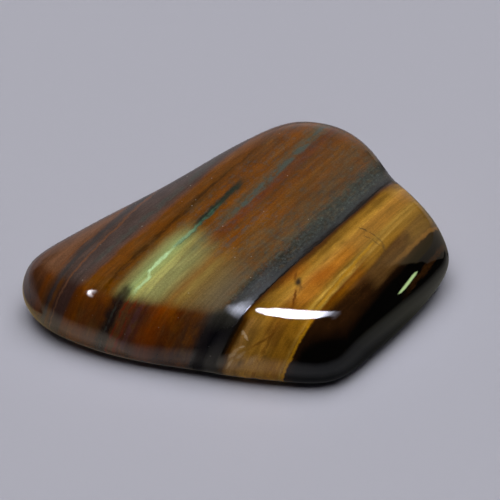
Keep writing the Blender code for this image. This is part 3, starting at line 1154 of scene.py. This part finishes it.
@dataclass
class Studio:
    """Plain pale floor, soft overhead light, cards for the polish, and the camera."""

    floor_half: float = 0.8
    floor_colour: str = "#aeafbc"
    room_colour: str = "#ffffff"
    room_strength: float = 0.012
    overhead_height: float = 0.5
    overhead_side: float = 0.42
    overhead_radiance: float = 5.35
    overhead_colour: str = "#fffdfa"
    camera_distance: float = 270.0 * MM
    camera_elevation: float = 50.0
    camera_aim: tuple[float, float, float] = (1.085 * MM, -0.612 * MM, 4.185 * MM)
    camera_sees: tuple[float, float] = (0.01, 10.0)
    lens: float = 243.0
    sensor: float = 36.0
    middle: tuple[float, float, float] = (1.0 * MM, -1.0 * MM, 6.0 * MM)
    front_ridge: tuple[float, float, float] = (3.0 * MM, -9.0 * MM, 7.0 * MM)
    pointed_end: tuple[float, float, float] = (-11.3 * MM, -7.3 * MM, 6.8 * MM)
    shoulder: tuple[float, float, float] = (13.6 * MM, -4.8 * MM, 5.2 * MM)
    # The floor close round the stone, as the polish shows it: an oval ring that is dark in
    # the stone's own shadow, brightest a few millimetres out and dark again beyond.
    ring_middle: tuple[float, float] = (0.0 * MM, -1.0 * MM)
    ring_half: tuple[float, float] = (21.5 * MM, 17.5 * MM)
    ring_profile: tuple[tuple[float, float], ...] = (
        (0.55, 0.10), (0.74, 0.25), (0.86, 1.0), (0.97, 0.9), (1.11, 0.0),
    )
    ring_glows: tuple[Glow, ...] = (
        Glow(168.0, 0.30, "#f4f0ee"), Glow(195.0, 0.42, "#ffe2a8"),
        Glow(210.0, 0.60, "#fff0d4", 1.05), Glow(221.0, 0.70, "#fff2e4", 0.96),
        Glow(229.0, 0.68, "#fff2e2", 0.92), Glow(234.0, 0.50, "#f4f2f4", 0.83),
        Glow(243.0, 0.38, "#f6f2f2", 0.81), Glow(251.0, 0.42, "#f8f2f0", 0.83),
        Glow(260.0, 0.66, "#faf0e2", 0.86), Glow(270.0, 0.50, "#f4f0ec", 0.90),
        Glow(280.0, 0.36, "#f0eef4", 0.93), Glow(292.0, 0.30, "#eceef8", 1.0),
        Glow(300.0, 0.28, "#eceef8", 1.03), Glow(320.0, 0.24, "#eeeef0"),
        Glow(340.0, 0.32, "#f4f2e0"), Glow(356.0, 0.30, "#f4f0e4"), Glow(372.0, 0.20, "#f4eee8"),
    )

    def __post_init__(self) -> None:
        """Places the cards round the stone."""
        level = (0.0, 0.0, 1.0)
        above = (0.0, 1.0, 0.0)
        self.cards = {
            # The bright window that lies along the front ridge of the gold. Its right end
            # tapers and fades.
            "window": Card(
                self.front_ridge, level, above, 0.493, "#e4e8ff",
                (
                    ((-62, -52, 0, 120, 330, 490, 670, 950, 1300),
                     (-66, -46, 5, -35, -110, -165, -215, -300, -480), 0),
                    ((-64, -55, 0, 120, 330, 490, 670, 950, 1300),
                     (-108, -100, -30, -68, -138, -200, -245, -350, -520),
                     (0, 54, 38, 34, 34, 15, 3, 0.8, 0)),
                    ((-74, -65, 0, 120, 330, 490, 670, 950, 1300),
                     (-285, -285, -385, -385, -330, -300, -310, -440, -660),
                     (0, 54, 38, 34, 34, 15, 3, 0.8, 0)),
                    ((-76, -66, 0, 120, 330, 490, 670, 950, 1300),
                     (-325, -340, -425, -420, -365, -350, -390, -600, -860), 0),
                ),
            ),
            # A small lamp, seen as a round dot near the pointed end.
            "lamp": Card(
                self.pointed_end, (-0.60, -0.735, 0.33), level, 0.5, "#fffaff",
                (
                    ((-16, -15, -14), 130, 0),
                    ((-10.8, -9, -7.2), 70, (0, 60, 0)),
                    ((-2.6, 0, 2.6), 0, (0, 110, 0)),
                    ((10.2, 12, 13.8), -95, (0, 60, 0)),
                    ((19, 20, 21), -165, 0),
                ),
            ),
            # A pale green strip, close by on the right, seen along the shoulder.
            "strip": Card(
                self.shoulder, (0.947, -0.193, -0.257), (-0.313, -0.733, -0.604), 0.012, "#ddffb4",
                (
                    ((-0.30, 0.0, 0.30), (1.60, 1.62, 1.60), (4, 6, 4)),
                    ((-0.50, 0.0, 0.50), 1.1, (5, 10, 5)),
                    ((-0.55, 0.0, 0.55), 0.0, (5, 10, 5)),
                    ((-0.55, 0.0, 0.55), -1.1, (5, 10, 5)),
                    ((-0.35, 0.0, 0.35), (-1.60, -1.65, -1.60), (4, 6, 4)),
                ),
            ),
            # The wall behind, a faint haze over the broad face.
            "wall": Card(
                self.middle, (0.0, 0.68, 0.73), level, 0.6, "#e6e6f4",
                (
                    ((-600, 600), 350, 0.1),
                    ((-600, 600), -350, 0.1),
                ),
            ),
            # The pale backdrop, seen low over the back edge.
            "backdrop": Card(
                self.middle, (0.0, 1.0, 0.0), level, 0.5, "#ecebf6",
                (
                    ((2450, 600, 480, 250, 130, 0, -110, -260),
                     (1500, 900, 800, 600, 560, 520, 500, 400), 0),
                    ((2450, 600, 480, 250, 130, 0, -110, -260),
                     (900, 480, 430, 330, 215, 200, 200, 190),
                     (0.15, 0.4, 0.35, 0.32, 0.33, 0.42, 0.38, 0.10)),
                    ((2450, 600, 480, 250, 130, 0, -110, -260),
                     (225, 250, 200, 130, 100, 90, 100, 90),
                     (0.45, 0.6, 0.6, 0.42, 0.43, 0.8, 0.6, 0.2)),
                    ((2450, 600, 480, 250, 130, 0, -110, -260),
                     -120, (0.45, 0.6, 0.6, 0.45, 0.43, 0.7, 0.55, 0.2)),
                ),
            ),
            # A brown board on the right, a haze that ends in a clean line on the shoulder.
            "board": Card(
                self.middle, (1.0, 0.0, 0.0), level, 0.5, "#ffe2ae",
                (
                    ((300, 420, 700), 1000, 0),
                    ((135, 300, 650), 782, (0.18, 0.1, 0)),
                    ((43, 220, 600), 618, (0.32, 0.2, 0)),
                    ((-47, 150, 550), 413, (0.5, 0.3, 0.05)),
                    ((-80, 100, 500), 305, (0.6, 0.4, 0.1)),
                    ((-105, 60, 450), 148, (0.6, 0.45, 0.15)),
                    ((-105, 60, 420), 91, (0.5, 0.45, 0.18)),
                    ((-90, 60, 400), -19, (0.42, 0.40, 0.22)),
                    ((-53, 100, 400), -103, (0.36, 0.34, 0.24)),
                    ((-15, 100, 400), -150, (0.30, 0.30, 0.24)),
                ),
            ),
            # The floor behind the stone, and to the right of it.
            "floor_behind": Card(
                (0.0, 0.0, 5.0 * MM), (0.0, 0.0, -1.0), above, 4.99 * MM, "#ecebf6",
                (
                    ((-17, 200), 250, 0.34),
                    ((-17, 200), 14, 0.34),
                    ((-17, 200), 8, (0.28, 0.20)),
                    ((-17, 200), 0, 0.10),
                ),
            ),
            "floor_left": Card(
                (0.0, 0.0, 5.0 * MM), (0.0, 0.0, -1.0), above, 4.92 * MM, "#ecebf6",
                (
                    ((19, 24, 40, 200), (40, 40, 40, 120), (0.3, 0.45, 0.45, 0.45)),
                    ((19, 24, 34, 200), (10, 10, 10, 60), (0.3, 0.5, 0.45, 0.4)),
                    ((19, 24, 30, 60), (2, 2, 2, 0), (0.2, 0.55, 0.45, 0.1)),
                    ((19, 23, 28, 45), (-3, -3, -3, -8), (0.15, 0.45, 0.3, 0)),
                    ((19, 22, 25, 40), (-8, -9, -9, -14), (0, 0.2, 0.1, 0)),
                ),
            ),
            "floor_right": Card(
                (0.0, 0.0, 5.0 * MM), (0.0, 0.0, -1.0), above, 4.99 * MM, "#fff0dc",
                (
                    ((-250, -35, -25, -17), 250, 0.36),
                    ((-250, -35, -25, -17), 20, (0.36, 0.36, 0.34, 0.30)),
                    ((-250, -35, -25, -17), (-20, 2, 5, 9), (0.30, 0.28, 0.24, 0.20)),
                    ((-250, -35, -25, -17), (-45, -5, 0, 4), (0.26, 0.22, 0.18, 0.14)),
                ),
            ),
        }

    def build_floor(self) -> None:
        """The level floor that the stone lies on."""
        mesh = bmesh.new()
        bmesh.ops.create_grid(mesh, x_segments=1, y_segments=1, size=self.floor_half)
        floor = put_in_scene("floor", mesh)
        floor.data.materials.append(self.matte_paint())
        # The cards on it stand for the floor in the polish.
        floor.visible_glossy = False

    def matte_paint(self) -> bpy.types.Material:
        """Matte painted board for the floor: even and dull, so it takes only soft shadows.

        Returns:
            The material.
        """
        material = bpy.data.materials.new("matte_painted_board")
        material.use_nodes = True
        shader = material.node_tree.nodes["Principled BSDF"]
        shader.inputs["Base Color"].default_value = linear_rgba(self.floor_colour)
        shader.inputs["Roughness"].default_value = 0.95
        shader.inputs["Specular IOR Level"].default_value = 0.0
        return material

    def glowing_paper(self) -> bpy.types.Material:
        """Glowing paper for the cards: each point shines in the colour that it was given.

        Returns:
            The material.
        """
        material = bpy.data.materials.new("glowing_paper")
        material.use_nodes = True
        tree = material.node_tree
        tree.nodes.clear()
        glow = add_node(tree, "Attribute", attribute_name="glow")
        shine = add_node(tree, "Emission", {"Color": glow.outputs["Color"], "Strength": 1.0})
        add_node(tree, "OutputMaterial", {"Surface": shine})
        return material

    def build_room(self) -> None:
        """The dim room all round."""
        world = bpy.data.worlds.new("dim_room")
        world.use_nodes = True
        background = world.node_tree.nodes["Background"]
        background.inputs["Color"].default_value = linear_rgba(self.room_colour)
        background.inputs["Strength"].default_value = self.room_strength
        bpy.context.scene.world = world

    def build_overhead(self) -> None:
        """The soft panel overhead, which lights the stone and the floor."""
        light = bpy.data.lights.new("overhead", type="AREA")
        light.shape = "SQUARE"
        light.size = self.overhead_side
        light.color = linear_rgba(self.overhead_colour)[:3]
        light.energy = self.overhead_radiance * math.pi * self.overhead_side**2
        panel = bpy.data.objects.new("overhead", light)
        panel.location = np.array(self.middle) + (0.0, 0.0, self.overhead_height)
        panel.visible_camera = False
        # The cards stand for it in the polish.
        panel.visible_glossy = False
        bpy.context.scene.collection.objects.link(panel)

    def link_card(
        self,
        name: str,
        points: list[Vector],
        glows: list[tuple],
        columns: int,
        paper: bpy.types.Material,
    ) -> None:
        """Makes a card from its points and puts it in the scene.

        Args:
            name: the card's name.
            points: its points, row by row.
            glows: the light that each point gives, as red, green, blue and alpha.
            columns: how many points there are in a row.
            paper: what the card is made of.
        """
        mesh = bmesh.new()
        rows = len(points) // columns
        bmesh.ops.create_grid(mesh, x_segments=columns - 1, y_segments=rows - 1, size=1.0)
        layer = mesh.verts.layers.float_color.new("glow")
        in_rows = sorted(mesh.verts, key=lambda vert: (round(-vert.co.y, 3), vert.co.x))
        for vert, point, glow in zip(in_rows, points, glows):
            vert.co = point
            vert[layer] = glow
        card = put_in_scene(name, mesh)
        card.data.materials.append(paper)
        card.visible_camera = False
        card.visible_diffuse = False
        card.visible_shadow = False

    def build_cards(self) -> None:
        """Hangs the cards, each turned to the point that it faces."""
        paper = self.glowing_paper()
        for name, card in self.cards.items():
            back = Vector(card.toward).normalized()
            up = Vector(card.up)
            up = (up - back * up.dot(back)).normalized()
            right = up.cross(back)
            middle = Vector(card.faces) + back * card.distance
            shade = Vector(linear_rgba(card.colour)[:3])
            spots = [spot for row in card.rows for spot in zip(*np.broadcast_arrays(*row))]
            points = [middle + (right * float(x) + up * float(y)) * MM for x, y, _ in spots]
            glows = [(*(shade * float(radiance)), 1.0) for _, _, radiance in spots]
            self.link_card(name, points, glows, len(card.rows[0][0]), paper)

        points, glows = [], []
        for share, strength in self.ring_profile:
            for glow in self.ring_glows:
                turn = math.radians(glow.azimuth)
                x = self.ring_middle[0] + self.ring_half[0] * share * glow.reach * math.cos(turn)
                y = self.ring_middle[1] + self.ring_half[1] * share * glow.reach * math.sin(turn)
                points.append(Vector((x, y, 0.05 * MM)))
                shade = Vector(linear_rgba(glow.colour)[:3])
                glows.append((*(shade * glow.radiance * strength), 1.0))
        self.link_card("floor_ring", points, glows, len(self.ring_glows), paper)

    def build_camera(self) -> None:
        """The camera, looking down at the broad face from the front."""
        data = bpy.data.cameras.new("camera")
        data.lens = self.lens
        data.sensor_width = self.sensor
        data.clip_start, data.clip_end = self.camera_sees
        camera = bpy.data.objects.new("camera", data)
        rise = math.radians(self.camera_elevation)
        back = np.array((0.0, -math.cos(rise), math.sin(rise)))
        camera.location = np.array(self.camera_aim) + back * self.camera_distance
        camera.rotation_euler = (math.pi / 2 - rise, 0.0, 0.0)
        bpy.context.scene.collection.objects.link(camera)
        bpy.context.scene.camera = camera

    def build(self) -> None:
        """Sets up everything round the stone."""
        self.build_floor()
        self.build_room()
        self.build_overhead()
        self.build_cards()
        self.build_camera()
        bpy.context.scene.view_settings.view_transform = "Standard"
        bpy.context.scene.view_settings.look = "None"


def main() -> None:
    """Builds the studio and the stone, and reports each."""
    studio = Studio()
    studio.build()
    log.info("studio: floor, room, overhead panel, %d cards and camera", len(studio.cards) + 1)
    pebble = Pebble()
    stone = pebble.build()
    pebble.dress(stone)
    log.info("%s: %d faces", stone.name, len(stone.data.polygons))


if __name__ == "__main__":
    logging.basicConfig(level=logging.INFO, format="%(message)s")
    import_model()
    main()
